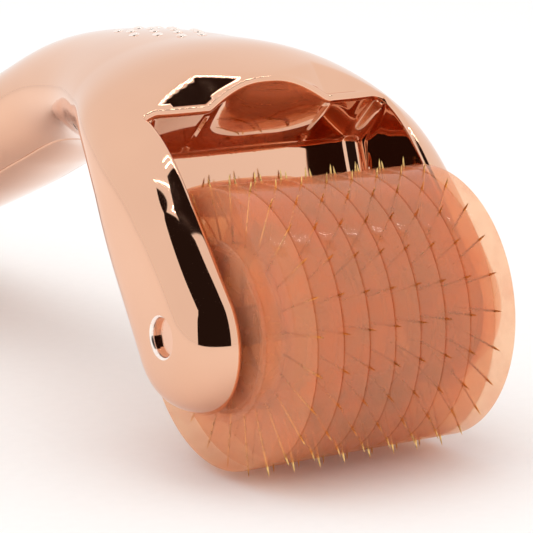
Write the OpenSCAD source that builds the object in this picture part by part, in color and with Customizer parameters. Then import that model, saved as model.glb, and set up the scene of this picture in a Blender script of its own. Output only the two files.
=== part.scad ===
// Micro-needle skin roller: a hollow plated handle that ends in a two-armed head, and a
// clear drum of stacked discs, with a row of needles held between each pair of discs,
// which turns on a steel axle between the arms.
// The model is worked out about the axle, X along it and +Y towards the handle's end,
// and is then set down on the surface that it rests on.

/* [Drum] */
// Diameter of the clear discs
disc_d = 22; // [20:0.5:24]
// Distance from one needle row to the next
row_pitch = 2.35; // [2.2:0.05:2.5]
// Thickness of the first and the last disc
end_disc_w = 1.9; // [1.6:0.1:2.4]
// Gap between neighbouring discs, which the needles lie in
seam_gap = 0.24; // [0.22:0.01:0.3]
// Width of the rounding on each disc's rim
rim_round = 0.45; // [0.2:0.05:0.6]
// Diameter of the spool that the discs are pressed onto
spool_d = 13; // [11:0.5:14]

/* [Needles] */
// Needles in one row
needles_per_row = 24; // [12:1:30]
// How far a needle stands out of the drum
needle_out = 0.8; // [0.3:0.1:1.5]
// Diameter of a needle
needle_d = 0.2; // [0.15:0.01:0.21]
// Length of the ground point
point_len = 0.6; // [0.3:0.1:1]
// Angle of the first needle above the forward direction
first_needle_angle = 6.6; // [0:0.1:15]

/* [Axle] */
// Diameter of the axle
axle_d = 3; // [2.5:0.1:3.5]
// Radial clearance between the axle and the spool that turns on it
running_gap = 0.05; // [0.02:0.01:0.1]
// Depth of the axle's end below the arm's outer face
axle_recess = 0.6; // [0.4:0.1:1.5]

/* [Head] */
// Width across the two arms
head_w = 30.4; // [30:0.1:32]
// Thickness of one arm
arm_w = 4; // [3.5:0.1:4.2]
// Forward edge of the hood, measured back from the axle
hood_front = 8.3; // [7.5:0.1:9]
// Thickness of the hood's front edge
rim_w = 1.1; // [0.8:0.1:1.5]

/* [Handle] */
// Thickness of the handle's wall
wall = 1.8; // [1.4:0.1:2.2]
// Distance from the axle to the flat end of the handle
tail_y = 122.4; // [120:0.1:122.6]
// Half width of the cover in the underside
cover_half_w = 4.6; // [4:0.1:5]
// Gap along the cover's two long edges
cover_gap = 0.12; // [0.1:0.01:0.2]
// Radius of one grip dot
dot_r = 0.5; // [0.4:0.1:0.8]
// Distance between neighbouring grip dots in a row
dot_pitch = 2; // [1.8:0.1:2.4]

/* [Hidden] */

// Places worked out from the driving dimensions
rows = 8;
disc_r = disc_d / 2;
tip_r = disc_r + needle_out;
drum_half = (rows - 1) * row_pitch / 2 + seam_gap / 2 + end_disc_w;
slot_half = head_w / 2 - arm_w;
hub_end = slot_half - 0.3;
axle_half = head_w / 2 - axle_recess;
lowest = tip_r * cos(first_needle_angle);
origin_y = (tail_y - lowest) / 2;

// Sections of the handle from the arms' tips to the tail. Each row holds the centre's
// distance back and height, the half width, the half thickness, how square the section
// is (2 is an ellipse), and how far the upper face is crowned.
stations = [
  [0.5, -0.6, head_w / 2, 6.6, 4.0, 0],
  [5.4, 6.1, head_w / 2, 6.0, 3.8, 0],
  [9.6, 10.9, head_w / 2 - 0.2, 5.6, 2.8, 1.0],
  [14.5, 13.9, 13.8, 5.2, 2.2, 0.8],
  [20.5, 14.8, 11.4, 5.1, 2.1, 0.3],
  [28, 14.9, 9, 5, 2.1, 0.1],
  [36, 13.9, 8, 5, 2.1, 0],
  [45, 10.6, 8.2, 4.9, 2.1, 0],
  [55, 6.8, 8.8, 5.1, 2.1, 0],
  [75, 0.8, 9.6, 6, 2.1, 0],
  [95, -3.9, 9.2, 6.4, 2.1, 0],
  [108, -5.6, 8, 6.1, 2.1, 0],
  [114, -5.6, 7.2, 6.1, 2.1, 0]
];
last = len(stations) - 1;
span_steps = 3;
ring_points = 36;
tail_round = 9.4;
tail_steps = 5;

// Rows of grip dots: dots in each row, the first row's place counted in stations, and the step
dot_counts = [2, 3, 4, 3, 3];
first_dot_station = 4.03;
dot_row_step = 0.29;

// Hollow that is pressed into each side of the brow: place, tilt and half axes
brow_side = 6.6;
brow_behind = 0.9;
brow_height = 17.5;
brow_tilt = 24;
brow_axes = [3.2, 2.8, 1.1];

// Hub cap: outer radius and height of its ring, and the radii of the boss's foot and face
cap_r = 7.2;
cap_ring_w = 0.6;
cap_ring_h = 0.25;
boss_foot_r = 4;
boss_foot_h = 0.1;
boss_r = 3.4;

// Smooth rail through the stations
function gap_after(i) = norm([stations[i + 1][0] - stations[i][0],
                              stations[i + 1][1] - stations[i][1]]);
function step_after(i) = (stations[i + 1] - stations[i]) / gap_after(i);
function trend(i) =
  i == 0 ? step_after(0) :
  i == last ? step_after(last - 1) :
  (step_after(i) * gap_after(i - 1) + step_after(i - 1) * gap_after(i))
    / (gap_after(i - 1) + gap_after(i));
function place(i, t) =
  (2 * t ^ 3 - 3 * t ^ 2 + 1) * stations[i]
  + (t ^ 3 - 2 * t ^ 2 + t) * gap_after(i) * trend(i)
  + (3 * t ^ 2 - 2 * t ^ 3) * stations[i + 1]
  + (t ^ 3 - t ^ 2) * gap_after(i) * trend(i + 1);
function heading(i, t) =
  let (d = (6 * t ^ 2 - 6 * t) * (stations[i] - stations[i + 1])
         + (3 * t ^ 2 - 4 * t + 1) * gap_after(i) * trend(i)
         + (3 * t ^ 2 - 2 * t) * gap_after(i) * trend(i + 1))
  [d[0], d[1]] / norm([d[0], d[1]]);
function tail_scale(y) = sqrt(1 - ((y - stations[last][0]) / tail_round) ^ 2);

// One section as a ring of points; inset moves it inwards by that much
function ring(s, dir, inset) = [
  for (k = [0:ring_points - 1])
    let (a = 360 * (k + 0.5) / ring_points,
         reach = (abs(cos(a)) ^ s[4] + abs(sin(a)) ^ s[4]) ^ (1 / s[4]),
         side = cos(a) / reach,
         up = sin(a) / reach,
         n = up * (s[3] - inset) + max(0, up) * s[5] * (1 - side ^ 2))
    [side * (s[2] - inset), s[0] - n * dir[1], s[1] + n * dir[0]]
];
function rings(from, to, inset) = [
  for (i = [from:to - 1]) for (j = [0:span_steps - 1])
    ring(place(i, j / span_steps), heading(i, j / span_steps), inset),
  ring(stations[to], heading(to - 1, 1), inset)
];
function tail_rings(inset, depth) = [
  for (j = [1:tail_steps])
    let (y = stations[last][0] + (depth - stations[last][0]) * sin(90 * j / tail_steps),
         f = tail_scale(y))
    ring([y, stations[last][1], stations[last][2] * f, stations[last][3] * f,
          stations[last][4], 0], [1, 0], inset * f)
];

// Skins a stack of rings into one closed solid
module skin(stack) {
  count = len(stack);
  points = [for (r = stack) for (p = r) p];
  sides = [
    for (i = [0:count - 2]) for (k = [0:ring_points - 1])
      let (a = i * ring_points + k,
           b = i * ring_points + (k + 1) % ring_points)
      [a, b, b + ring_points, a + ring_points]
  ];
  first_end = [for (k = [ring_points - 1:-1:0]) k];
  last_end = [for (k = [0:ring_points - 1]) (count - 1) * ring_points + k];
  polyhedron(points, concat(sides, [first_end, last_end]), convexity = 6);
}

module body_form() {
  skin(concat(rings(0, last, 0), tail_rings(0, tail_y)));
}

// Rounded tips of the arms: a section turned about the line through the arms' end centre
module tip_form() {
  s = stations[0];
  translate([0, s[0], s[1]])
    rotate([0, 90, 0])
      rotate_extrude($fn = 48)
        polygon([
          [0, -s[2]],
          for (a = [-84:7:84])
            let (reach = (abs(cos(a)) ^ s[4] + abs(sin(a)) ^ s[4]) ^ (1 / s[4]))
            [s[3] * cos(a) / reach, s[2] * sin(a) / reach],
          [0, s[2]]
        ]);
}

// Extrudes a side outline of [distance back, height] points evenly to both sides
module across(half) {
  rotate([90, 0, 90])
    translate([0, 0, -half])
      linear_extrude(2 * half)
        children();
}

// Space between the arms, in front of the hood's edge and below the scoop's lip
module fork_space() {
  across(slot_half)
    polygon([
      [-20, -20], [25, -20], [13.4, 5.2], [11.5, 7.1], [11.5, 12],
      [hood_front, 14], [hood_front, 30], [-20, 30]
    ]);
}

// Hollow behind the drum: a wall that falls back from the hood's edge and then curls
// forward to the lip, roofed by the hood at an even thickness
module scoop_space() {
  intersection() {
    across(slot_half)
      polygon([
        [hood_front - 2, 25], [hood_front + 0.6, 25], [hood_front + 0.6, 16.9],
        [11.5, 13], [12.4, 11.6], [12.9, 10.2], [12.8, 8.9], [12.2, 7.8], [11.5, 7.1],
        [hood_front - 2, 7.1]
      ]);
    skin(rings(1, 5, rim_w));
  }
}

// Shallow hollows pressed into the hood on both sides of its raised middle
module brow_recess() {
  for (side = [-1, 1])
    translate([side * brow_side, hood_front + brow_behind, brow_height])
      rotate([0, side * brow_tilt, 0])
        scale(brow_axes)
          sphere(r = 1, $fn = 32);
}

module handle_hollow() {
  skin(concat(rings(4, last, wall), [
    ring([stations[last][0] + 4, stations[last][1], stations[last][2] * 0.85,
          stations[last][3] * 0.85, stations[last][4], 0], [1, 0], wall)
  ]));
}

// Zone of the underside that the cover closes; trim narrows it on its long sides
module cover_zone(trim) {
  across(cover_half_w - trim)
    polygon([[32, -30], [32, 13], [45, 9], [55, 5], [75, -1], [95, -5.5], [108, -7.4], [108, -30]]);
}

// A point of the upper skin, t of the way from station i to the next and x to the side
function on_top(i, t, x) =
  let (s = place(i, t),
       dir = heading(i, t),
       side = abs(x) / s[2],
       n = (1 - side ^ s[4]) ^ (1 / s[4]) * (s[3] + s[5] * (1 - side ^ 2)))
  [x, s[0] - n * dir[1], s[1] + n * dir[0]];

// Low domes in staggered rows on top of the neck
module grip_dots() {
  for (row = [0:len(dot_counts) - 1]) for (k = [0:dot_counts[row] - 1])
    let (at = first_dot_station + row * dot_row_step,
         x = (k - (dot_counts[row] - 1) / 2) * dot_pitch)
      translate(on_top(floor(at), at - floor(at), x))
        scale([dot_r, dot_r, dot_r * 0.4])
          sphere(r = 1, $fn = 12);
}

module handle_form() {
  difference() {
    union() {
      body_form();
      tip_form();
      grip_dots();
    }
    fork_space();
    scoop_space();
    brow_recess();
    handle_hollow();
    cover_zone(0);
  }
}

module handle_shell() {
  color([0.91, 0.72, 0.60])
    difference() {
      // The moulding is brought to its nominal width before the arms are drilled
      resize([head_w, 0, 0])
        handle_form();
      across(head_w)
        circle(d = axle_d, $fn = 48);
    }
}

module underside_cover() {
  color([0.86, 0.66, 0.55])
    resize([2 * (cover_half_w - cover_gap), 0, 0])
      intersection() {
        difference() {
          body_form();
          handle_hollow();
        }
        cover_zone(cover_gap);
      }
}

module axle() {
  color([0.80, 0.62, 0.52])
    rotate([0, 90, 0])
      cylinder(d = axle_d, h = 2 * axle_half, center = true, $fn = 48);
}

// A ring about the axle: half outline of [radius, place along the axle] points
module turned() {
  rotate([0, 90, 0])
    rotate_extrude($fn = 96)
      children();
}

module spool() {
  color([0.93, 0.62, 0.48, 0.6])
    turned()
      polygon([
        [axle_d / 2 + running_gap, -drum_half], [spool_d / 2, -drum_half],
        [spool_d / 2, drum_half], [axle_d / 2 + running_gap, drum_half]
      ]);
}

module hub_cap(side) {
  color([0.95, 0.68, 0.55, 0.6])
    turned()
      polygon([
        [axle_d / 2 + running_gap, side * drum_half], [cap_r, side * drum_half],
        [cap_r, side * (drum_half + cap_ring_h)],
        [cap_r - cap_ring_w, side * (drum_half + cap_ring_h)],
        [boss_foot_r, side * (drum_half + boss_foot_h)], [boss_r, side * hub_end],
        [axle_d / 2 + running_gap, side * hub_end]
      ]);
}

module disc_ring(from, to) {
  color([0.89, 0.57, 0.43, 0.6])
    turned()
      polygon([
        [spool_d / 2, from], [disc_r - rim_round, from],
        [disc_r - rim_round * 0.3, from + rim_round * 0.3], [disc_r, from + rim_round],
        [disc_r, to - rim_round], [disc_r - rim_round * 0.3, to - rim_round * 0.3],
        [disc_r - rim_round, to], [spool_d / 2, to]
      ]);
}

// Disc n of nine, counted from the left
function seam_x(n) = (n - (rows + 1) / 2) * row_pitch;
module disc(n) {
  disc_ring(n == 1 ? -drum_half : seam_x(n - 1) + seam_gap / 2,
            n == rows + 1 ? drum_half : seam_x(n) - seam_gap / 2);
}

module needle() {
  shank = tip_r - point_len - spool_d / 2;
  translate([0, 0, spool_d / 2])
    cylinder(d = needle_d, h = shank, $fn = 16);
  translate([0, 0, tip_r - point_len])
    cylinder(d1 = needle_d, d2 = needle_d * 0.15, h = point_len, $fn = 16);
}

module needle_row(n) {
  color([0.85, 0.68, 0.32])
    for (k = [0:needles_per_row - 1])
      translate([seam_x(n), 0, 0])
        rotate([90 - first_needle_angle - k * 360 / needles_per_row, 0, 0])
          needle();
}

module on_rest() {
  translate([0, -origin_y, lowest])
    children();
}

on_rest() handle_shell();
on_rest() underside_cover();
on_rest() axle();
on_rest() spool();
on_rest() hub_cap(-1);  // left_hub_cap
on_rest() hub_cap(1);  // right_hub_cap
for (n = [1:rows + 1])
  on_rest() disc(n);
for (n = [1:rows])
  on_rest() needle_row(n);
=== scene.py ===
"""A micro-needle skin roller: a plated handle that ends in a forked head, and a clear drum that turns in
the fork.

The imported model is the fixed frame. The pieces are made in the order in which the roller is put together:
the handle's shell and its cover, the axle, the spool and its caps, the discs and the needles. Shapes are
worked out in millimetres about the axle, with X along it and +Y towards the handle's end, and are then set
on the frame's axle.
"""
import bmesh
import bpy
import numpy as np
from math import cos, pi, radians, sin
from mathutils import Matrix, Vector


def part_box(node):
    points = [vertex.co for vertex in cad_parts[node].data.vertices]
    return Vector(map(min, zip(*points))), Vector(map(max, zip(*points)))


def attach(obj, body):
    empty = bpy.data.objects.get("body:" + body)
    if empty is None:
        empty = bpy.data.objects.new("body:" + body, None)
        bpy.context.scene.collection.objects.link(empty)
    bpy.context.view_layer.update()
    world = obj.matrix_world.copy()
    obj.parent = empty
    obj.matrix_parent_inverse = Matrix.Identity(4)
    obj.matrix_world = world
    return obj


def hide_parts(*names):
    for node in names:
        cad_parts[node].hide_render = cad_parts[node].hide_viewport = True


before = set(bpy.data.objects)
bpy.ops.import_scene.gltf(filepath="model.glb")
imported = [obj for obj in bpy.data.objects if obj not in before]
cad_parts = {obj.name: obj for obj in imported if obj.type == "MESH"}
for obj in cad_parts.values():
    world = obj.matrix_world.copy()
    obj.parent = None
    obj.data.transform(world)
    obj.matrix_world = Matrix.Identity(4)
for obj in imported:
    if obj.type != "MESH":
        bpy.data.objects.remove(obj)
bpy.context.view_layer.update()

# ----------------------------------------------------------------------------------------------------------
# Handle shell
# One hollow moulding with a vacuum-plated rose-gold mirror finish. It sweeps from a flat tail through a
# slim neck into a domed hood, and forks into two flat arms. The slot between the arms runs back under the
# hood's rim into a scooped wall, and each arm is drilled for the axle.

MM = 0.001
axle_low, axle_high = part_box("axle")
AXLE = np.array([0.0, (axle_low.y + axle_high.y) / 2, (axle_low.z + axle_high.z) / 2])
HEAD_HALF = 15.2
SLOT_HALF = 11.2
HOOD_FRONT = 8.3
HOOD_END = 2.4          # the section behind which the handle narrows
TAIL_END = 122.4
TAIL_ROUND = 9.4
EDGE_ROUND = 0.42       # rounding along the hood's rim and the arms' inner edges
LIP_ROUND = 0.75        # rounding of the scoop's lower lip
COVER_HALF = 4.6        # half width of the pocket that the cover lies in
COVER_SHARE = 0.4       # the same as a share of the way out to the arms' inner line
COVER_FROM, COVER_TO = 32.0, 108.0

# Distance back, height, half width, half thickness, squareness (2 is an ellipse) and crown of each section
SECTIONS = np.array([
    [0.5, -0.6, HEAD_HALF, 6.6, 4.0, 0.0],
    [5.4, 6.1, HEAD_HALF, 6.0, 3.8, 0.0],
    [9.6, 10.9, HEAD_HALF - 0.2, 5.6, 2.8, 1.0],
    [14.5, 13.9, 13.8, 5.2, 2.2, 0.8],
    [20.5, 14.8, 11.4, 5.1, 2.1, 0.3],
    [28.0, 14.9, 9.0, 5.0, 2.1, 0.1],
    [36.0, 13.9, 8.0, 5.0, 2.1, 0.0],
    [45.0, 10.6, 8.2, 4.9, 2.1, 0.0],
    [55.0, 6.8, 8.8, 5.1, 2.1, 0.0],
    [75.0, 0.8, 9.6, 6.0, 2.1, 0.0],
    [95.0, -3.9, 9.2, 6.4, 2.1, 0.0],
    [108.0, -5.6, 8.0, 6.1, 2.1, 0.0],
    [114.0, -5.6, 7.2, 6.1, 2.1, 0.0],
])
LAST = len(SECTIONS) - 1
gaps = np.linalg.norm(np.diff(SECTIONS[:, :2], axis=0), axis=1)
steps = np.diff(SECTIONS, axis=0) / gaps[:, None]
trends = np.vstack([
    steps[:1],
    (steps[1:] * gaps[:-1, None] + steps[:-1] * gaps[1:, None]) / (gaps[:-1] + gaps[1:])[:, None],
    steps[-1:],
])


def rail(s):
    """The handle's section and heading at s, counted in sections from the arms' tips: a cubic between
    neighbouring sections whose slopes are the weighted means of the steps on both sides. Past the last one
    the section shrinks as a quarter ellipse towards the flat end."""
    s = np.asarray(s, float)
    i = np.clip(s.astype(int), 0, LAST - 1)
    t = np.clip(s - i, 0, 1)[..., None]
    gap = gaps[i][..., None]
    place = ((2 * t**3 - 3 * t**2 + 1) * SECTIONS[i] + (t**3 - 2 * t**2 + t) * gap * trends[i]
             + (3 * t**2 - 2 * t**3) * SECTIONS[i + 1] + (t**3 - t**2) * gap * trends[i + 1])
    run = ((6 * t**2 - 6 * t) * (SECTIONS[i] - SECTIONS[i + 1]) + (3 * t**2 - 4 * t + 1) * gap * trends[i]
           + (3 * t**2 - 2 * t) * gap * trends[i + 1])[..., :2]
    heading = run / np.linalg.norm(run, axis=-1, keepdims=True)
    past = np.clip(s - LAST, 0, 1)
    back = (TAIL_END - SECTIONS[LAST, 0]) * np.sin(past * pi / 2)
    place[..., 0] += back
    place[..., 2] = np.minimum(place[..., 2], HEAD_HALF)
    place[..., 2:4] *= np.sqrt(1 - (back / TAIL_ROUND) ** 2)[..., None]
    heading = np.where((past > 0)[..., None], [1.0, 0.0], heading)
    return place, heading


def inner_line(s):
    """Distance from the middle to the arms' inner line, which closes in with the handle's width past the
    hood. It lies one and a quarter roundings outside the arms' flat faces."""
    line = SLOT_HALF + 1.25 * EDGE_ROUND
    width = rail(s)[0][..., 2]
    return np.where(np.asarray(s) < HOOD_END, line, line * width / rail(HOOD_END)[0][2])


def skin(s, turn, across):
    """Points of the handle's skin, where |x/W|^p + |n/T|^p = 1 on each section. across runs from -2 at the
    left side through 0 in the middle to 2 at the right. Up to 1 it is a share of the way out to the arms'
    inner line, with COVER_SHARE at the cover's edge, and beyond that it turns round the side of the
    section. turn is 0 on the upper face, pi underneath, and between them round the arms' tips."""
    place, heading = rail(s)
    y, z, width, thick, power, crown = np.moveaxis(place, -1, 0)
    inner = inner_line(s)
    cover = np.minimum(COVER_HALF, 0.6 * width)
    size = np.abs(across)
    share = np.clip(size, 0, 1)
    out = np.where(share < COVER_SHARE, share / COVER_SHARE * cover,
                   cover + (share - COVER_SHARE) / (1 - COVER_SHARE) * (inner - cover)) / width
    lean = np.arctan(((inner / width) ** -power - 1) ** (1 / power)) * np.clip(2 - size, 0, 1)
    reach = (np.cos(lean) ** power + np.sin(lean) ** power) ** (1 / power)
    side = np.where(size > 1, np.cos(lean) / reach, out)
    up = np.where(size > 1, np.sin(lean) / reach, np.clip(1 - out ** power, 0, 1) ** (1 / power))
    rise = up * thick + np.where(np.cos(turn) > 0.999, crown * up * (1 - side ** 2), 0)
    out_y = -np.cos(turn) * heading[..., 1] - np.sin(turn) * heading[..., 0]
    out_z = np.cos(turn) * heading[..., 0] - np.sin(turn) * heading[..., 1]
    return np.stack([np.sign(across) * side * width, y + rise * out_y, z + rise * out_z], -1)


def smooth(t):
    """Rises from 0 to 1 as t does, level at both ends: t squared times (3 - 2t)."""
    t = np.clip(t, 0, 1)
    return t * t * (3 - 2 * t)


def unit(v):
    """Vectors brought to length 1."""
    return v / np.maximum(np.linalg.norm(v, axis=-1, keepdims=True), 1e-12)


def between(a, b, share):
    """Unit directions on the way from a to b, turning evenly through the angle between them."""
    angle = np.arccos(np.clip((a * b).sum(-1, keepdims=True), -0.9999, 0.9999))
    return unit(np.sin((1 - share) * angle) * a + np.sin(share * angle) * b)


def search(wanted, across, turn, low, high):
    """The place s along the skin at which wanted(point) rises past 0, halving the stretch 40 times."""
    low, high = np.full_like(across, low), np.full_like(across, high)
    for _ in range(40):
        half = (low + high) / 2
        past = wanted(skin(half, turn, across)) > 0
        low, high = np.where(past, low, half), np.where(past, half, high)
    return low


# Columns across the handle, with a close pair at the edge of the cover's pocket
CLOSE = 0.004           # between the close columns or rows, as a share of a step of across or s
half_columns = np.concatenate([
    np.linspace(0, COVER_SHARE, 25), [COVER_SHARE + CLOSE], np.linspace(COVER_SHARE, 1, 37)[1:],
    np.linspace(1, 2, 27)[1:]])
columns = np.concatenate([-half_columns[:0:-1], half_columns])
slot = np.flatnonzero(np.abs(columns) <= 1)
across_slot = columns[slot]

# The skin is cut at the hood's front above, and along the sloping plane of the scoop's lip below
LIP_PLANE = 19.15       # where the plane crosses the axis: distance back plus height
rim_at = search(lambda p: p[..., 1] - HOOD_FRONT - EDGE_ROUND, across_slot, 0.0, 1.0, 4.0)
lip_at = search(lambda p: p[..., 1] + p[..., 2] - LIP_PLANE, across_slot, pi, 0.5, 4.0)
rim_s, lip_s = rim_at[-1], lip_at[-1]

# Rows along a loop: from the tail over the dome to the rim, down the arms, round their tips, and back
# underneath past the lip, with the same places above and below so that the two halves meet at the sides
fine = np.linspace(0, LAST + 1, 4001)
path = rail(fine)[0][:, :2]
travel = np.concatenate([[0], np.cumsum(np.linalg.norm(np.diff(path, axis=0), axis=1))])
ARM_ROWS, TIP_ROWS = 56, 48
ROW_GAP, ROW_GROWTH, ROW_GAP_MOST = 0.2, 1.035, 1.6
cover_s = np.interp([COVER_FROM, COVER_TO], path[:, 0], fine)
gap = np.minimum(ROW_GAP * ROW_GROWTH ** np.arange(400), ROW_GAP_MOST)
run = np.interp(rim_s, fine, travel) + np.concatenate([[0], np.cumsum(gap)])
past_rim = np.interp(run[run < travel[-1] - 1], travel, fine)
past_rim = np.sort(np.concatenate([past_rim, cover_s, cover_s + [-CLOSE, CLOSE], [LAST + 1.0]]))
half_s = np.concatenate([rim_s * np.arange(ARM_ROWS) / ARM_ROWS, past_rim])
row_s = np.concatenate([half_s[::-1], np.zeros(TIP_ROWS - 1), half_s])
row_turn = np.concatenate([np.zeros(len(half_s)), pi * np.arange(1, TIP_ROWS) / TIP_ROWS,
                           np.full(len(half_s), pi)])
rim_row = len(past_rim) - 1
lip_row = rim_row + 2 * ARM_ROWS + TIP_ROWS

# The rows are drawn towards the rim and the lip, so that the skin ends on them exactly
PULL_REACH = 9.0
row_number = np.arange(len(row_s))
along = np.interp(row_s, fine, travel)
to_cut = np.abs(along - np.interp(rim_s, fine, travel))
pull_rim = smooth(1 - to_cut / PULL_REACH) * (row_number <= rim_row)
pull_lip = np.where(row_number >= lip_row, smooth(1 - to_cut / PULL_REACH), row_s / rim_s)
pull_lip *= row_turn == pi
grid_s = np.repeat(row_s[:, None], len(columns), 1)
grid_s[:, slot] += pull_rim[:, None] * (rim_at - rim_s)
lip_pull = (lip_s - rim_s) * (2 - np.abs(columns))
lip_pull[slot] = lip_at - rim_s
grid_s += pull_lip[:, None] * lip_pull
turns = np.repeat(row_turn[:, None], len(columns), 1)
shell = skin(grid_s, turns, np.repeat(columns[None], len(row_s), 0))


BROW_SLOPE = 1.2        # rise of the brow's facet for each millimetre back
BROW_HALF = 5.75        # half width of its arch, which the rim's two creases end
BROW_SHOULDER, BROW_TOP = 16.1, 18.1
BROW_SOFT = 0.14        # how far the facet's edge is eased
BROW_REACH = 5.0        # how far from the hood's front it may cut


def arch(x):
    """How far the hood's rim rises above its level shoulders: 1 - (x/half)^2 of its full rise."""
    return (BROW_TOP - BROW_SHOULDER) * np.clip(1 - (x / BROW_HALF) ** 2, 0, 1)


def pressed(points):
    """The hood's brow: a facet that rises steeply from the rim and cuts the dome away where it lies lower.
    The cut's edge is eased by taking the mean of the depth h and the root of h squared plus a small
    constant squared."""
    x, y, z = np.moveaxis(points, -1, 0)
    height = z - BROW_SHOULDER - arch(x) - BROW_SLOPE * (y - HOOD_FRONT - EDGE_ROUND)
    depth = (height + np.sqrt(height ** 2 + BROW_SOFT ** 2)) / 2 * (np.abs(y - HOOD_FRONT) < BROW_REACH)
    return points - depth[..., None] * [0, 0, 1]


shell[:rim_row + 1] = pressed(shell[:rim_row + 1])


def normals(points):
    """Unit normals of a grid of points: the cross product of its two central differences."""
    return unit(np.cross(np.gradient(points, axis=0), np.gradient(points, axis=1)))


out = normals(shell)

# Rounded edges: each starts on the skin and turns about a centre below it towards the wall inside the slot
TURNS = 7
turned = np.linspace(0, 1, TURNS)[:, None, None]
RIM_WALL = unit(np.array([0, -0.78, -0.62]))
LIP_WALL = unit(np.array([0, -0.81, 0.59]))
CORNER = 1.5            # length over which a rounding turns from the rim or the lip onto an arm


def rounding(points, out, wall, radius):
    """A strip round an edge, as a quarter turn or more of a circle from the skin's normal to the wall's."""
    return points + (between(out, wall, turned) - out) * radius


def wall_across(wall):
    """The wall's normal along the rim or the lip, which turns towards the slot's middle at both corners."""
    x = shell[rim_row, slot, 0]
    inward = -np.sign(x)[:, None] * [1, 0, 0]
    near = smooth((np.abs(x) - np.abs(x).max() + CORNER) / CORNER)[:, None]
    return between(np.broadcast_to(wall, inward.shape), unit(wall + inward), near)


rim_strip = rounding(shell[rim_row, slot], out[rim_row, slot], wall_across(RIM_WALL), EDGE_ROUND)
lip_strip = rounding(shell[lip_row, slot], out[lip_row, slot], wall_across(LIP_WALL), LIP_ROUND)
arm = slice(rim_row, lip_row + 1)
arm_step = np.linalg.norm(np.diff(shell[arm, slot[0]], axis=0), axis=1)
arm_run = np.concatenate([[0], np.cumsum(arm_step)])


def arm_strip(side):
    """The rounding down one arm's inner edge, from the rim's corner round the tip to the lip's corner. It
    ends on the flat inner wall, except at the corners."""
    line = slot[0] if side < 0 else slot[-1]
    inward = np.array([-side, 0.0, 0.0])
    from_rim = smooth(arm_run / CORNER)[:, None]
    from_lip = smooth((arm_run[-1] - arm_run) / CORNER)[:, None]
    wall = between(np.broadcast_to(unit(RIM_WALL + inward), (len(arm_run), 3)), inward, from_rim)
    wall = between(np.broadcast_to(unit(LIP_WALL + inward), wall.shape), wall, from_lip)
    near_lip = 1 - smooth((arm_run[-1] - arm_run) / (2 * CORNER))[:, None]
    radius = EDGE_ROUND + (LIP_ROUND - EDGE_ROUND) * near_lip
    strip = rounding(shell[arm, line], out[arm, line], wall, radius)
    short = (side * SLOT_HALF - strip[-1, :, 0]) * (from_rim * from_lip)[:, 0]
    strip[..., 0] += turned[..., 0] ** 2 * short
    return strip


left_strip, right_strip = arm_strip(-1), arm_strip(1)

# The scoop's wall slopes straight back from the rim, bends sharply, and drops to the lip. The rim's arch
# dies out down its upper part.
WALL_ROWS = 61
FILLET = 1.6
BEND = 0.45             # length of the bend's rounding, each way
BEND_Y, BEND_Z = 12.5, 11.6
rim_end, lip_end = rim_strip[-1], lip_strip[-1]
flat_rim = rim_end - arch(rim_end[:, :1]) * [0, 0, 1]
bend_x = (rim_end[:, 0] + lip_end[:, 0]) / 2
bend = np.stack([bend_x, np.full(len(slot), BEND_Y), np.full(len(slot), BEND_Z)], -1)
upper = np.linalg.norm(flat_rim - bend, axis=1)[:, None]
lower = np.linalg.norm(lip_end - bend, axis=1)[:, None]
down = np.linspace(0, 1, WALL_ROWS)[:, None, None]
run = down * (upper + lower)
wall = np.where(run < upper, flat_rim + (bend - flat_rim) * run / upper,
                bend + (lip_end - bend) * (run - upper) / lower)
share = np.clip((run - upper + BEND) / (2 * BEND), 0, 1)
curve = bend + ((1 - share) ** 2 * (flat_rim - bend) / upper + share ** 2 * (lip_end - bend) / lower) * BEND
wall = np.where(np.abs(run - upper) < BEND, curve, wall)
wall += np.clip(1 - run / upper, 0, 1) ** 3 * (rim_end - flat_rim)

# A fine groove runs down the wall from each end of the rim's arch, and ends in a small sink above the bend
GROOVE_WIDTH, GROOVE_DEPTH = 0.16, 0.22
SINK_WIDTH, SINK_DEPTH = 0.34, 0.45
SINK_ABOVE = 0.9
GROOVE_STARTS, GROOVE_STOPS = 0.6, 0.3  # lengths over which it deepens and dies out
from_groove = np.abs(np.abs(rim_end[:, :1]) - BROW_HALF)
from_sink = np.hypot(from_groove, run - upper + SINK_ABOVE)
groove_ends = smooth(run / GROOVE_STARTS) * smooth((upper - SINK_ABOVE - run) / GROOVE_STOPS)
grooved = GROOVE_DEPTH * np.exp(-(from_groove / GROOVE_WIDTH) ** 2) * groove_ends
sunk = SINK_DEPTH * np.exp(-(from_sink / SINK_WIDTH) ** 2)
wall += np.maximum(grooved, sunk) * -RIM_WALL

# Each side of the wall turns forwards in a rounded corner, which grows in below the rim and out above the lip
reach = np.abs(across_slot) * SLOT_HALF
round_corner = np.clip((reach - SLOT_HALF + FILLET) / FILLET, 0, 1) * pi / 2
corner_x = np.where(round_corner > 0, SLOT_HALF - FILLET * (1 - np.sin(round_corner)), reach)
full = np.sin(pi * down[..., 0]) ** 0.6
wall[..., 0] = (1 - full) * wall[..., 0] + full * np.sign(across_slot) * corner_x
wall[..., 1] -= full * FILLET * (1 - np.cos(round_corner))


def arm_face(strip, side_edge):
    """The flat inner face of an arm, ruled between the upper and the lower half of its edge, and bent at
    its back end onto the side edge of the scoop's wall."""
    ends = strip[-1]
    half = len(ends) // 2
    upper, lower = ends[:half + 1, None], ends[:half - 1:-1, None]
    share = np.linspace(0, 1, WALL_ROWS)[None, :, None]
    chord = (1 - share) * upper + share * lower
    fade = (1 - np.linspace(0, 1, half + 1)[:, None, None]) ** 3
    return chord + fade * (side_edge[None] - chord[:1])


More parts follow.
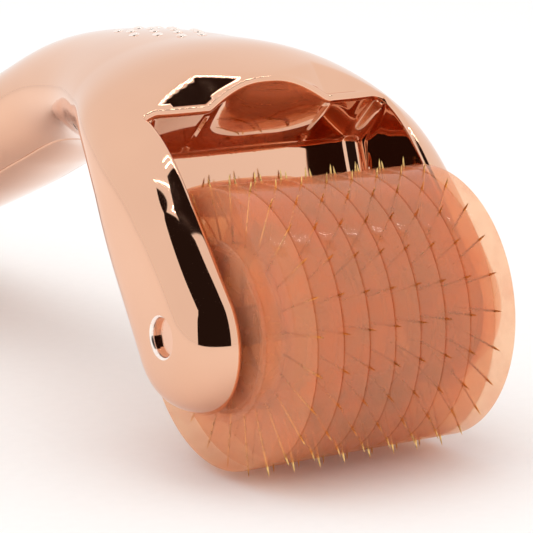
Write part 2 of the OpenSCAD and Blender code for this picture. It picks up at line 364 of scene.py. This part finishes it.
# The cover's pocket is sunk into the underside
POCKET_DEPTH = 1.9
pocket_rows = (row_number >= lip_row) & (row_s >= cover_s[0]) & (row_s <= cover_s[1])
pocket = pocket_rows[:, None] & (np.abs(columns) <= COVER_SHARE + 1e-6)[None]
shell[pocket] -= POCKET_DEPTH * out[pocket]


def quads(rows, cols, keep=None):
    """Faces of a grid, as four corner numbers each; keep says which of its cells stay."""
    number = np.arange(rows * cols).reshape(rows, cols)
    cells = np.stack([number[:-1, :-1], number[:-1, 1:], number[1:, 1:], number[1:, :-1]], -1)
    return cells.reshape(-1, 4) if keep is None else cells[keep]


def mesh_piece(name, grids, sharp=38.0, cells=None):
    """A piece from grids of points in millimetres about the axle. Grids that share an edge are welded,
    faces are turned outwards, and edges that turn by more than sharp degrees stay crisp. cells says which
    faces of the first grid stay."""
    points, faces, count = [], [], 0
    for k, grid in enumerate(grids):
        keep = cells if k == 0 else None
        faces.append(quads(*grid.shape[:2], keep) + count)
        points.append(grid.reshape(-1, 3))
        count += len(points[-1])
    place = np.concatenate(points) * MM + AXLE
    mesh = bpy.data.meshes.new(name)
    mesh.from_pydata(place.tolist(), [], np.concatenate(faces).tolist())
    work = bmesh.new()
    work.from_mesh(mesh)
    bmesh.ops.remove_doubles(work, verts=work.verts, dist=2e-6)
    bmesh.ops.dissolve_degenerate(work, edges=work.edges, dist=1e-7)
    bmesh.ops.recalc_face_normals(work, faces=work.faces)
    work.to_mesh(mesh)
    work.free()
    mesh.shade_smooth()
    mesh.set_sharp_from_angle(angle=radians(sharp))
    piece = bpy.data.objects.new(name, mesh)
    bpy.context.scene.collection.objects.link(piece)
    return piece


# The skin stays open over the slot, from the rim round the arms' tips to the lip
in_slot = (np.abs(columns[:-1] + columns[1:]) < 2)[None]
in_fork = (row_number[:-1] >= rim_row) & (row_number[:-1] < lip_row)
keep_cells = ~(in_fork[:, None] & in_slot)
cap_share = np.linspace(0, 1, 5)[:, None, None]
tail_cap = (1 - cap_share) * shell[0] + cap_share * shell[-1]
handle_shell = mesh_piece("handle_shell_skin", [
    shell, rim_strip, lip_strip, left_strip, right_strip, wall, tail_cap,
    arm_face(left_strip, wall[:, 0]), arm_face(right_strip, wall[:, -1])], cells=keep_cells)


def keep_modified(piece):
    """Makes what the piece's modifiers give into its own mesh."""
    made = bpy.data.meshes.new_from_object(piece.evaluated_get(bpy.context.evaluated_depsgraph_get()))
    piece.modifiers.clear()
    piece.data = made
    made.name = piece.name


def turned_grid(outline, segments=144):
    """A closed ring round the axle, from a closed outline of (place along the axle, radius) points."""
    angle = np.arange(segments + 1)[:, None] * 2 * pi / segments
    x, r = np.array(list(outline) + [outline[0]], float).T
    return np.stack([np.broadcast_to(x, (segments + 1, len(x))), np.cos(angle) * r, np.sin(angle) * r], -1)


AXLE_HOLE = 1.5
HOLE_ROUND = 0.3
HOLE_DEPTH = 2.6
PAST_FACE = 0.5         # how far the drill stands out of the arm
ease = np.radians(np.arange(0, 76, 15))
for side in (-1, 1):
    face = side * HEAD_HALF
    flare = [(face - side * HOLE_ROUND * (1 - sin(a)), AXLE_HOLE + HOLE_ROUND * (1 - cos(a))) for a in ease]
    floor = face - side * HOLE_DEPTH
    beyond = face + side * PAST_FACE
    outline = [(floor, 0.0), (floor, AXLE_HOLE)] + flare + [(beyond, flare[-1][1] + 0.2), (beyond, 0.0)]
    drill = mesh_piece("drill", [turned_grid(outline, 96)])
    cut = handle_shell.modifiers.new("axle hole", "BOOLEAN")
    cut.operation = "DIFFERENCE"
    cut.solver = "EXACT"
    cut.object = drill
    keep_modified(handle_shell)
    bpy.data.objects.remove(drill)
handle_shell.data.set_sharp_from_angle(angle=radians(38))

# The rounded mouths of the two holes are the faces near them that lean off the arm's flat side. They take
# the shell's second material, a near-white copy of the plating that paints a highlight round each hole.
FLAT_LEAN = radians(14)
MOUTH_SLACK = 0.1       # how far below the rounding a mouth's face may lie
MOUTH_FROM = 0.004      # how far outside the bore its faces begin
middles = np.empty(len(handle_shell.data.polygons) * 3)
facing = np.empty_like(middles)
handle_shell.data.polygons.foreach_get("center", middles)
handle_shell.data.polygons.foreach_get("normal", facing)
middles = (middles.reshape(-1, 3) - AXLE) / MM
from_axle = np.hypot(middles[:, 1], middles[:, 2])
mouth_highlight = (from_axle > AXLE_HOLE + MOUTH_FROM) & (from_axle < AXLE_HOLE + HOLE_ROUND)
mouth_highlight &= np.abs(middles[:, 0]) > HEAD_HALF - HOLE_ROUND - MOUTH_SLACK
mouth_highlight &= np.abs(facing[::3]) < cos(FLAT_LEAN)

# Low domes in staggered rows on top of the neck, which are moulded with the shell and give the thumb a grip
DOT_RADIUS = 0.48
DOT_HEIGHT = 0.2
DOT_PITCH = 2.0
DOT_COUNTS = (2, 3, 4, 3, 3)
FIRST_DOT_ROW, DOT_ROW_STEP = 20.2, 2.2
DOT_SUNK = 0.02
NUDGE = 0.01            # step along the skin that its slope is taken over
lean, spin = np.meshgrid(np.linspace(0, pi / 2, 7), np.linspace(0, 2 * pi, 25), indexing="ij")
dots = []
for row, count in enumerate(DOT_COUNTS):
    for k in range(count):
        aside = (k - (count - 1) / 2) * DOT_PITCH * COVER_SHARE / COVER_HALF
        back = FIRST_DOT_ROW + DOT_ROW_STEP * row
        at = search(lambda p: p[..., 1] - back, np.array([aside]), 0.0, 3.0, 6.5)[0]
        places = np.array([[at, aside], [at + NUDGE, aside], [at, aside + NUDGE]])
        here, ahead, beside = skin(places[:, 0], np.zeros(3), places[:, 1])
        up = unit(np.cross(beside - here, ahead - here))
        ahead = unit(ahead - here)
        flat = np.cos(spin)[..., None] * np.cross(ahead, up) + np.sin(spin)[..., None] * ahead
        dots.append(here - DOT_SUNK * up + np.sin(lean)[..., None] * DOT_RADIUS * flat
                    + np.cos(lean)[..., None] * DOT_HEIGHT * up)
grip_dots = mesh_piece("grip_dots", dots)


class Wire:
    """A socket of a material's node tree. Arithmetic on wires and numbers adds Math nodes, and any other
    node comes from node()."""

    def __init__(self, tree, socket=None):
        self.tree = tree
        self.socket = socket

    def node(self, kind, settings=None, inputs=None, out=0):
        """Adds a node, gives it its settings, then sets or links its sockets by name or number."""
        made = self.tree.nodes.new("ShaderNode" + kind)
        for name, value in (settings or {}).items():
            setattr(made, name, value)
        for name, value in (inputs or {}).items():
            if isinstance(value, Wire):
                self.tree.links.new(value.socket, made.inputs[name])
            else:
                made.inputs[name].default_value = value
        return Wire(self.tree, made.outputs[out])

    def maths(self, operation, *values):
        return self.node("Math", {"operation": operation}, dict(enumerate(values)))

    def __add__(self, other):
        return self.maths("ADD", self, other)

    def __mul__(self, other):
        return self.maths("MULTIPLY", self, other)

    __radd__ = __add__
    __rmul__ = __mul__

    def band(self, low, high):
        """0 below low, 1 above high, and smooth between them."""
        return self.node("MapRange", {"interpolation_type": "SMOOTHSTEP"},
                         {"Value": self, "From Min": low, "From Max": high})

    def blend(self, first, second):
        """The colour first where this wire is 0, and second where it is 1."""
        return self.node("Mix", {"data_type": "RGBA"}, {0: self, 6: first, 7: second}, out=2)


def finish(name, steady, varying, tint=None):
    """A material from the Principled shader. steady holds the values set on its sockets, and varying is a
    function that takes a starting wire and the object's coordinates and returns the sockets whose values
    change. With a tint, the part of the surface that its Body wire leaves out lets light through in that
    colour."""
    material = bpy.data.materials.new(name)
    material.use_nodes = True
    tree = material.node_tree
    shader = tree.nodes["Principled BSDF"]
    for socket, value in steady.items():
        shader.inputs[socket].default_value = value
    start = Wire(tree)
    wires = varying(start, start.node("TexCoord", out=3))
    if tint:
        through = start.node("BsdfTransparent", {}, {"Color": (*tint, 1)})
        solid = Wire(tree, shader.outputs[0])
        both = start.node("MixShader", {}, {0: wires.pop("Body"), 1: through, 2: solid})
        tree.links.new(both.socket, tree.nodes["Material Output"].inputs["Surface"])
    for socket, wire in wires.items():
        tree.links.new(wire.socket, shader.inputs[socket])
    return material


def noise(start, place, scale, detail=3.0, rough=0.5):
    """A cloudy pattern with that many clouds a metre."""
    return start.node("TexNoise", {}, {
        "Vector": place, "Scale": scale, "Detail": detail, "Roughness": rough})


def plated(start, place):
    """Mirror plating: faint clouds in its colour, fine rubbed patches that dull it, and the slight waviness
    that a plated moulding has."""
    cloud = noise(start, place, 60.0).band(0.3, 0.7)
    rubbed = noise(start, place, 420.0, 6.0, 0.7).band(0.5, 0.8)
    colour = cloud.blend((0.79, 0.47, 0.325, 1), (0.84, 0.505, 0.35, 1))
    waves = noise(start, place, 130.0, 2.0)
    bump = start.node("Bump", {}, {"Strength": 0.12, "Distance": 0.0002, "Height": waves})
    return {"Base Color": colour, "Roughness": rubbed * 0.035 + 0.035, "Normal": bump}


def painted_highlight_finish(start, place):
    """Painted highlight on the dots' tops and the holes' mouths: nearly white plating with faint dull specks.
    """
    specks = noise(start, place, 2500.0).band(0.45, 0.75)
    return {"Base Color": specks.blend((1.0, 0.90, 0.84, 1), (0.96, 0.76, 0.66, 1)),
            "Roughness": specks * 0.1 + 0.22}


plating = finish("rose_plating", {"Metallic": 1.0}, plated)
# A nearly white copy of the plating, which paints highlights on the grip dots and the holes' mouths
highlight_plating = finish("painted_highlight_plating", {"Metallic": 1.0}, painted_highlight_finish)
for piece in (handle_shell, grip_dots):
    piece.data.materials.append(plating if piece == handle_shell else highlight_plating)
    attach(piece, "handle")
handle_shell.data.materials.append(highlight_plating)
handle_shell.data.polygons.foreach_set("material_index", mouth_highlight.astype(np.int32))
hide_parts("handle_shell")

# ----------------------------------------------------------------------------------------------------------
# Underside cover
# A long plated strip that closes the hollow of the handle from below. It is moulded to the handle's own
# curve and pressed into its pocket, with a hairline gap all round.

COVER_GAP = 0.12
COVER_WALL = 1.6
COVER_COLUMNS, COVER_ROWS = 41, 120
cover_across = np.linspace(-1, 1, COVER_COLUMNS) * COVER_SHARE * (1 - COVER_GAP / COVER_HALF)
cover_rows = np.interp([COVER_FROM + COVER_GAP, COVER_TO - COVER_GAP], path[:, 0], fine)
cover_rows = np.repeat(np.linspace(*cover_rows, COVER_ROWS)[:, None], COVER_COLUMNS, 1)
outside = skin(cover_rows, np.full_like(cover_rows, pi), np.broadcast_to(cover_across, cover_rows.shape))
inside = outside - COVER_WALL * normals(outside)
ring = np.concatenate([outside, inside[:, ::-1], outside[:, :1]], axis=1)
ends = [np.stack([outside[k], inside[k]]) for k in (0, -1)]
underside_cover = mesh_piece("underside_cover_strip", [ring, *ends], 60)
softened = underside_cover.modifiers.new("edge", "BEVEL")
softened.width = 0.2 * MM
softened.segments = 2
softened.limit_method = "ANGLE"
softened.angle_limit = radians(60)
keep_modified(underside_cover)
underside_cover.data.materials.append(plating)
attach(underside_cover, "handle")
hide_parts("underside_cover")

# ----------------------------------------------------------------------------------------------------------
# Axle
# A plain steel pin, plated like the handle. It is pressed through both arms, and its ends lie sunk in their
# holes.


def worn_plate(start, place):
    """Plated steel with faint turning marks round the pin and small worn spots."""
    marks = start.node("TexNoise", {}, {"Vector": start.node(
        "Mapping", {}, {"Vector": place, "Scale": (4000.0, 300.0, 300.0)}), "Scale": 1.0, "Detail": 2.0})
    spots = noise(start, place, 900.0).band(0.55, 0.75)
    bump = start.node("Bump", {}, {"Strength": 0.1, "Distance": 0.00005, "Height": marks})
    return {"Base Color": spots.blend((0.84, 0.52, 0.38, 1), (0.60, 0.42, 0.34, 1)),
            "Roughness": spots * 0.1 + 0.08, "Normal": bump}


def dress(node, material):
    """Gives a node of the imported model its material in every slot."""
    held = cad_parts[node].data.materials
    held.clear()
    held.append(material)


dress("axle", finish("plated_pin", {"Metallic": 1.0}, worn_plate))

# ----------------------------------------------------------------------------------------------------------
# Spool
# The drum's core: a moulded tube of clear tinted plastic that turns on the axle, with shallow grooves where
# the needle rows are seated.

DISC_RADIUS = 11.0
SPOOL_RADIUS = 6.5
ROW_PITCH = 2.35
ROWS = 8
SEAM = 0.24
END_DISC = 1.9
seams = (np.arange(ROWS) - (ROWS - 1) / 2) * ROW_PITCH
DRUM_HALF = seams[-1] + SEAM / 2 + END_DISC
BORE = AXLE_HOLE + 0.05
HAIR = 0.01             # what two clear faces are held apart by
BEVEL, BORE_BEVEL = 0.3, 0.2
spool_r = SPOOL_RADIUS - HAIR
spool_end = DRUM_HALF - 2 * HAIR
groove = np.array([[-0.3, 0], [-0.15, -0.12], [0.15, -0.12], [0.3, 0]])
spool_skin = [(x + dx, spool_r + dr) for x in seams for dx, dr in groove]
spool_outline = (
    [(-spool_end, BORE + BORE_BEVEL), (-spool_end, SPOOL_RADIUS - BEVEL), (-DRUM_HALF + BEVEL, spool_r)]
    + spool_skin
    + [(DRUM_HALF - BEVEL, spool_r), (spool_end, SPOOL_RADIUS - BEVEL), (spool_end, BORE + BORE_BEVEL),
       (DRUM_HALF - BORE_BEVEL, BORE), (-DRUM_HALF + BORE_BEVEL, BORE)])


def clear_plastic(light, deep, cloud_scale, clear, frost):
    """Tinted clear plastic. Flow clouds shift its colour between light and deep, its clearness wavers about
    clear, and fine scuffs roughen it by frost."""
    def varying(start, place):
        cloud = noise(start, place, cloud_scale, 4.0, 0.6)
        flow = cloud.band(0.35, 0.65)
        scuff = noise(start, place, 1500.0, 4.0, 0.7).band(0.5, 0.75)
        bump = start.node("Bump", {}, {"Strength": 0.25, "Distance": 0.0002, "Height": cloud})
        return {"Base Color": flow.blend((*light, 1), (*deep, 1)), "Body": flow * 0.12 + clear,
                "Roughness": scuff * frost + 0.08, "Normal": bump}
    return varying


gloss = {"IOR": 1.5, "Coat Weight": 0.6, "Coat Roughness": 0.04}
spool = mesh_piece("spool_core", [turned_grid(spool_outline)], 20)
spool.data.materials.append(finish("clear_core", gloss, clear_plastic(
    (1.0, 0.58, 0.36), (0.92, 0.40, 0.22), 220.0, 0.3, 0.1), (1.0, 0.82, 0.68)))
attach(spool, "drum")
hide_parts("spool")

# ----------------------------------------------------------------------------------------------------------
# Hub caps
# A thin clear cap closes each end of the spool. Its low ring lies round the needles' roots, and the boss in
# its middle keeps the drum off the arm.

HUB_END = SLOT_HALF - 0.3
RING_RADIUS, RING_HEIGHT = 7.18, 0.22
cap_finish = finish("clear_cap", gloss, clear_plastic(
    (1.0, 0.70, 0.52), (0.95, 0.50, 0.32), 300.0, 0.06, 0.08), (1.0, 0.93, 0.87))
for name, side in (("left_hub_cap", -1), ("right_hub_cap", 1)):
    face = DRUM_HALF + HAIR
    top = face + RING_HEIGHT
    ring_face = [(face, RING_RADIUS), (face + 0.14, RING_RADIUS), (top, 7.08), (top, 6.75),
                 (face + 0.14, 6.6)]
    dish = [(face + 0.05, 5.6), (face + 0.05, 4.4), (face + 0.12, 4.0), (face + 0.2, 3.8)]
    boss = [(HUB_END - 0.1, 3.42), (HUB_END, 3.3), (HUB_END, BORE + 0.15), (HUB_END - 0.1, BORE + 0.02)]
    outline = [(face, BORE + 0.02)] + ring_face + dish + boss
    cap = mesh_piece(name + "_ring", [turned_grid([(side * x, r) for x, r in outline])], 24)
    cap.data.materials.append(cap_finish)
    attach(cap, "drum")
    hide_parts(name)

# ----------------------------------------------------------------------------------------------------------
# Discs
# Nine clear tinted rings stacked on the spool. Each has a rounded rim, and the needles lie in the seams
# between neighbours.

RIM_ROUND = 0.16
GLUE = 0.05             # what is left of the seam once the clear glue has filled it
disc_finish = finish("clear_disc", gloss, clear_plastic(
    (1.0, 0.58, 0.35), (0.95, 0.38, 0.19), 260.0, 0.22, 0.06), (1.0, 0.84, 0.70))
corner = np.radians(np.arange(0, 91, 15))
for k in range(ROWS + 1):
    low = -DRUM_HALF if k == 0 else seams[k - 1] + GLUE / 2
    high = DRUM_HALF if k == ROWS else seams[k] - GLUE / 2
    rise = [(low + RIM_ROUND * (1 - cos(a)), DISC_RADIUS - RIM_ROUND * (1 - sin(a))) for a in corner]
    drop = [(high - RIM_ROUND * (1 - cos(a)), DISC_RADIUS - RIM_ROUND * (1 - sin(a))) for a in corner[::-1]]
    outline = [(low, SPOOL_RADIUS + HAIR)] + rise + drop + [(high, SPOOL_RADIUS + HAIR)]
    disc = mesh_piece("clear_disc_%d" % (k + 1), [turned_grid(outline)], 30)
    disc.data.materials.append(disc_finish)
    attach(disc, "drum")
    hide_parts("disc_%d" % (k + 1))

# ----------------------------------------------------------------------------------------------------------
# Needles
# Eight rows of 24 fine gold-coloured steel needles. Each stands in a seam on the spool, passes out between
# the discs and ends in a long ground point.

NEEDLES = 24
FIRST_ANGLE = radians(6.6)
NEEDLE_RADIUS = 0.095
TIP_RADIUS = 11.8
POINT = 0.75
NEEDLE_SIDES = 6
ROOT_RADIUS = SPOOL_RADIUS - 0.1
LEAN = 0.018            # typical lean of a needle's free end, sideways for each millimetre out


def gilded(start, place):
    """Gold-coloured steel with darker grinding streaks."""
    streaks = noise(start, place, 2600.0).band(0.4, 0.7)
    return {"Base Color": streaks.blend((0.86, 0.58, 0.22, 1), (0.50, 0.30, 0.12, 1)),
            "Roughness": streaks * 0.15 + 0.18}


gold = finish("gold_needle", {"Metallic": 1.0}, gilded)
draw = np.random.default_rng(11)
round_needle = np.arange(NEEDLE_SIDES + 1) * 2 * pi / NEEDLE_SIDES
needle_r = np.array([ROOT_RADIUS, ROOT_RADIUS, TIP_RADIUS - POINT, TIP_RADIUS - POINT * 0.35, TIP_RADIUS])
needle_w = np.array([0.0, 1.0, 1.0, 0.55, 0.0]) * NEEDLE_RADIUS
for row, x in enumerate(seams):
    needles = []
    for k in range(NEEDLES):
        angle = FIRST_ANGLE + k * 2 * pi / NEEDLES
        out_way = np.array([0, -cos(angle), sin(angle)])
        round_way = np.array([0, sin(angle), cos(angle)])
        lean_x, lean_round = draw.normal(0, LEAN, 2)
        stand = needle_r[:, None, None] * out_way
        lean_way = lean_x * np.array([1, 0, 0]) + lean_round * round_way
        sway = np.clip(needle_r - DISC_RADIUS + 1, 0, None)[:, None, None] * lean_way
        body = (needle_w[:, None, None] * (np.cos(round_needle)[:, None] * np.array([1, 0, 0])
                                           + np.sin(round_needle)[:, None] * round_way))
        needles.append(stand + sway + body + [x, 0, 0])
    needle_row = mesh_piece("gold_needles_%d" % (row + 1), needles, 50)
    needle_row.data.materials.append(gold)
    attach(needle_row, "drum")
    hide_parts("needle_row_%d" % (row + 1))

# ----------------------------------------------------------------------------------------------------------
# Studio
# A white light tent on a pale floor. Its front is open and dark, as is a hole in its ceiling. The plating
# mirrors both, and the rows of small lamps that run along the top of the front and past the hole.

CAMERA = Vector((-0.112872, -0.220224, 0.055907))
CAMERA_SWING, CAMERA_TILT = radians(-33.03), radians(-11.42)
LENS = 175.34
scene = bpy.context.scene
scene.view_settings.view_transform = "Standard"
camera = bpy.data.objects.new("camera", bpy.data.cameras.new("camera"))
camera.data.lens = LENS
camera.data.sensor_width = 36.0
camera.data.clip_start = 0.01
camera.location = CAMERA
camera.rotation_euler = (pi / 2 + CAMERA_TILT, 0, CAMERA_SWING)
scene.collection.objects.link(camera)
scene.camera = camera

world = bpy.data.worlds.new("tent")
world.use_nodes = True
world.node_tree.nodes["Background"].inputs["Color"].default_value = (1.0, 0.985, 0.975, 1)
world.node_tree.nodes["Background"].inputs["Strength"].default_value = 1.0
scene.world = world


def board(name, middle, across, up, material):
    """A flat board for the studio: a rectangle from its middle and two half sides, or many small ones."""
    across, up = np.array(across, float), np.array(up, float)
    corners = np.array([-across - up, across - up, across + up, up - across])
    middles = np.array(middle, float).reshape(-1, 3)
    points = (middles[:, None] + corners).reshape(-1, 3)
    mesh = bpy.data.meshes.new(name)
    mesh.from_pydata(points.tolist(), [], np.arange(len(points)).reshape(-1, 4).tolist())
    mesh.materials.append(material)
    made = bpy.data.objects.new(name, mesh)
    scene.collection.objects.link(made)
    return made


def floor_paper(start, place):
    """Pale seamless paper with a faint tooth."""
    tooth = noise(start, place, 900.0)
    bump = start.node("Bump", {}, {"Strength": 0.05, "Distance": 0.0002, "Height": tooth})
    return {"Base Color": tooth.blend((0.93, 0.92, 0.915, 1), (0.96, 0.955, 0.95, 1)), "Normal": bump}


def glow(name, colour, strength):
    """A board that only shines, or is black at strength 0."""
    steady = {"Base Color": (0, 0, 0, 1), "Roughness": 1.0, "Specular IOR Level": 0.0,
              "Emission Color": (*colour, 1), "Emission Strength": strength}
    return finish(name, steady, lambda start, place: {})


board("floor", (0, 0, 0), (3, 0, 0), (0, 3, 0), finish("paper", {"Roughness": 0.9}, floor_paper))
toward = np.array([sin(CAMERA_SWING), -cos(CAMERA_SWING), 0])
sideways = np.array([cos(CAMERA_SWING), sin(CAMERA_SWING), 0])
OPENING_AWAY, OPENING_HALF, OPENING_HIGH = 0.33, 0.165, 0.65
TENT_TOP = 0.52
LAMP_HALF = 0.003
FRONT_STEP, CEILING_STEP = 0.0095, 0.012
HOLE_MIDDLE, HOLE_HALF = (0.11, -0.245), (0.225, 0.048)
LAMP_ROWS = (-0.165, -0.135)
hidden = glow("dark_room", (1.0, 0.6, 0.5), 0.02)
lamp_glow = glow("lamp", (1, 0.97, 0.93), 25.0)
staged = [board("opening", toward * OPENING_AWAY + [0, 0, OPENING_HIGH / 2], sideways * OPENING_HALF,
                [0, 0, OPENING_HIGH / 2], hidden),
          board("ceiling_hole", (*HOLE_MIDDLE, TENT_TOP), (HOLE_HALF[0], 0, 0), (0, HOLE_HALF[1], 0),
                hidden)]
count = np.arange(-18, 19)[:, None]
front_lamps = toward * (OPENING_AWAY - 0.03) + sideways * FRONT_STEP * count + [0, 0, OPENING_HIGH]
ceiling_lamps = np.concatenate([
    np.array([CEILING_STEP, 0, 0]) * count + [HOLE_MIDDLE[0], y, TENT_TOP - 0.01] for y in LAMP_ROWS])
staged += [board("front_lamps", front_lamps, sideways * LAMP_HALF, [0, 0, LAMP_HALF], lamp_glow),
           board("ceiling_lamps", ceiling_lamps, [LAMP_HALF, 0, 0], [0, LAMP_HALF, 0], lamp_glow)]
for made in staged:
    made.visible_camera = False
    made.visible_shadow = False
    made.visible_diffuse = False


def soft_light(name, place, size, power, colour):
    """A large soft area lamp that faces the drum."""
    lamp = bpy.data.lights.new(name, "AREA")
    lamp.size = size
    lamp.energy = power
    lamp.color = colour
    made = bpy.data.objects.new(name, lamp)
    made.location = place
    made.visible_glossy = False
    aim = Vector((0, AXLE[1], AXLE[2])) - Vector(place)
    made.rotation_euler = aim.to_track_quat("-Z", "Y").to_euler()
    scene.collection.objects.link(made)


soft_light("ceiling", (-0.1, 0.0, 0.55), 0.5, 0.7, (1, 0.98, 0.96))
